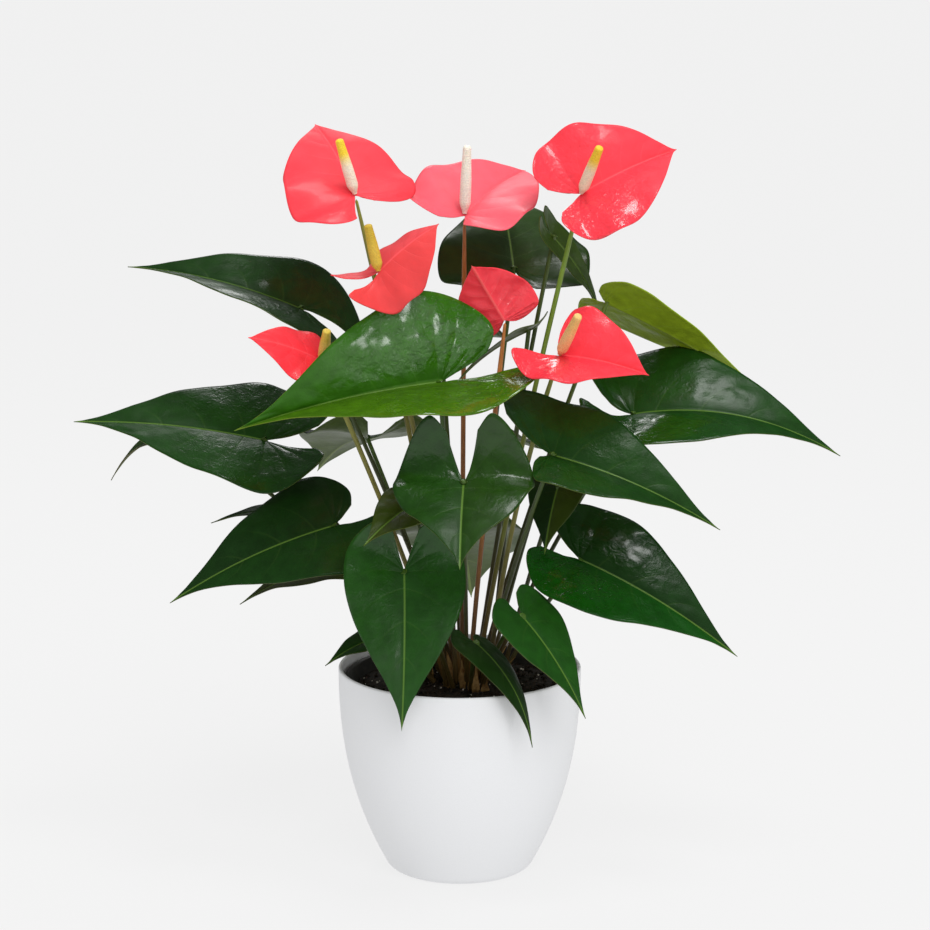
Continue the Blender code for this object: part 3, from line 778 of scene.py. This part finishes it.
def cover_pot():
    heights = [0.0, 0.3, 0.7, 1.3, 2.0, 3.0, 4.0, 5.5, 7.5, 10.0, 14.0, 18.0, 24.0, 30.0, 38.0,
               48.0, 58.0, 70.0, 82.0, 95.0, 108.0, 122.0, 134.0, 145.0, 154.0, 160.0]
    profile = [(0.0, 1.2), (pot_radius(0) - 9.0, 1.2), (pot_radius(0) - 7.5, 0.0)]
    profile += [(pot_radius(z), z) for z in heights]
    wall = POT_WALL
    for i in range(0, 9):
        a = math.pi * i / 8
        profile.append((POT_RIM - wall / 2 + wall / 2 * math.cos(a),
                        POT_HEIGHT - wall / 2 + wall / 2 * math.sin(a)))
    profile += [(pot_radius(z) - wall, z) for z in reversed(heights[9:24])]
    profile += [(pot_radius(5.0) - wall * 1.9, 5.0), (pot_radius(2.0) - wall * 2, wall)]
    profile.append((0.0, wall))
    piece = keep(turned(profile, 160), "white_pot", (WHITE,))
    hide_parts("cover_pot")


def grow_pot():
    top = POT_HEIGHT - RIM_DROP
    base = POT_WALL + 0.3
    profile = [
        (0.0, base), (46.0, base), (57.0, base + 9.5), (GROW_POT - 1.5, top - 4.6),
        (GROW_POT + 1.6, top - 4.4), (GROW_POT + 2.2, top - 3.6), (GROW_POT + 2.5, top - 1.0),
        (GROW_POT + 1.8, top - 0.1), (GROW_POT - 2.2, top), (GROW_POT - 2.9, top - 0.7),
        (55.6, base + 10), (45.0, base + 1.4), (0.0, base + 1.4),
    ]
    piece = keep(turned(profile, 128), "nursery_pot", (BLACK,))
    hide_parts("grow_pot")


def soil_height(x, y):
    """The soil's surface, mm: a low dome with crumbs."""
    r = math.hypot(x, y)
    dome = SOIL_TOP - 0.4 - 3.6 * ease(35.0, 84.0, r)
    spot = Vector((x, y, 0.0))
    rough = 1.3 * noise.noise(spot / 6.0) + 0.8 * noise.noise(spot / 2.3)
    return dome + rough - 1.2


def potting_mix():
    mesh = bmesh.new()
    bmesh.ops.create_circle(mesh, cap_ends=False, radius=83.0, segments=180)
    edges = mesh.edges[:]
    for r in [83.0 - 1.6 * i for i in range(1, 51)]:
        grown = bmesh.ops.extrude_edge_only(mesh, edges=edges)["geom"]
        verts = [g for g in grown if isinstance(g, bmesh.types.BMVert)]
        edges = [g for g in grown if isinstance(g, bmesh.types.BMEdge)]
        for v in verts:
            v.co.xy = v.co.xy.normalized() * r
    centre = bmesh.ops.extrude_edge_only(mesh, edges=edges)["geom"]
    for v in [g for g in centre if isinstance(g, bmesh.types.BMVert)]:
        v.co = (0.0, 0.0, 0.0)
    bmesh.ops.remove_doubles(mesh, verts=mesh.verts, dist=0.01)
    for v in mesh.verts:
        v.co.z = soil_height(v.co.x, v.co.y)
    rim = [e for e in mesh.edges if e.is_boundary]
    skirt = bmesh.ops.extrude_edge_only(mesh, edges=rim)["geom"]
    for v in [g for g in skirt if isinstance(g, bmesh.types.BMVert)]:
        v.co = (v.co.x * 0.55, v.co.y * 0.55, 6.0)
    bmesh.ops.contextual_create(mesh, geom=[e for e in mesh.edges if e.is_boundary])
    bmesh.ops.recalc_face_normals(mesh, faces=mesh.faces)
    piece = keep(mesh, "soil", (PEAT,))
    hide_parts("potting_soil")


def scatter(name, finish, count, small, large, flat, seed):
    """Loose bits on the soil: rough lumps of a few dozen faces each."""
    rng = random.Random(seed)
    mesh = bmesh.new()
    for _ in range(count):
        r = 82.0 * math.sqrt(rng.random())
        a = rng.uniform(0, 2 * math.pi)
        size = rng.uniform(small, large)
        x, y = r * math.cos(a), r * math.sin(a)
        if r + size > 82.0:
            continue
        turn = Euler([rng.uniform(0, 6.28) for _ in range(3)]).to_matrix().to_4x4()
        shape = Matrix.Diagonal((1.0, rng.uniform(0.5, 1.0), flat, 1.0))
        place = Matrix.Translation((x, y, soil_height(x, y) + size * 0.15))
        made = bmesh.ops.create_icosphere(mesh, subdivisions=1, radius=size,
                                          matrix=place @ turn @ shape)["verts"]
        for v in made:
            v.co += Vector([rng.uniform(-1, 1) for _ in range(3)]) * size * 0.18
    piece = keep(mesh, name, (finish,))


def dry_sheaths(count, seed):
    """Withered sheaths round the crown: short curled strips that come to a ragged point."""
    rng = random.Random(seed)
    mesh = bmesh.new()
    for i in range(count):
        a = 2 * math.pi * i / count + rng.uniform(-0.1, 0.1)
        r = rng.uniform(10.0, 33.0)
        tall = rng.uniform(14.0, 40.0)
        wide = rng.uniform(2.0, 4.2)
        lean = rng.uniform(0.05, 0.5)
        twist = rng.uniform(-1.5, 1.5)
        made = bmesh.ops.create_grid(mesh, x_segments=4, y_segments=14, size=1.0)["verts"]
        out = Vector((math.cos(a), math.sin(a), 0.0))
        along = Vector((-math.sin(a), math.cos(a), 0.0))
        foot = CROWN + out * r
        for v in made:
            x, u = v.co.x, (v.co.y + 1) / 2
            half = wide * (1.0 - u ** 1.6) * (0.75 + 0.25 * math.sin(9 * u + i))
            turn = twist * u
            level = along * math.cos(turn) + out * math.sin(turn)
            hollow = out * (1.2 * x * x * (1 - u))
            v.co = foot + level * (x * half) + hollow + out * (lean * tall * u * u)
            v.co.z += tall * u * (1 - 0.15 * u) - 1.5
    bmesh.ops.remove_doubles(mesh, verts=mesh.verts, dist=0.002)
    piece = keep(mesh, "dry_sheaths", (PAPERY,))
    wall = piece.modifiers.new("thickness", "SOLIDIFY")
    wall.thickness = 0.35 * MM


cover_pot()
grow_pot()
potting_mix()
scatter("soil_crumbs", PEAT, 420, 0.8, 2.6, 0.6, 3)
scatter("perlite_bits", PERLITE, 90, 0.5, 1.3, 0.8, 5)
dry_sheaths(24, 11)
